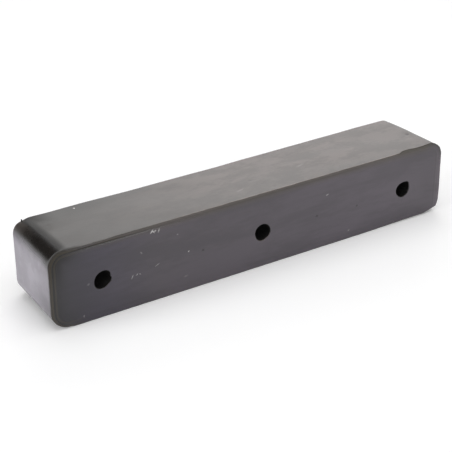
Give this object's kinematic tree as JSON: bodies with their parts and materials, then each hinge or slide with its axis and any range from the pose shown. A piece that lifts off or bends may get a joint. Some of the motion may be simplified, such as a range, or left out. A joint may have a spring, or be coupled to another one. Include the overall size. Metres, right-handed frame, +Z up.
{
  "type": "rubber stop",
  "caption": "Moulded rubber bar with rounded corners and a row of counterbored bolt holes, fixed to a wall or frame to stop and cushion what runs against it.",
  "frame": {"origin": "centre of the middle bolt hole's mouth, in the plane of the mounting face", "axes": "+X along the bar, +Y from the mounting face to the impact face, +Z up, with the bar lying on its lower long side"},
  "size_m": [0.4516, 0.08, 0.0822],
  "materials": {
    "rubber": "satin black moulded rubber with a faint bloom"
  },
  "bodies": {
    "root": {"rubber_bar": "rubber"}
  },
  "joints": []
}
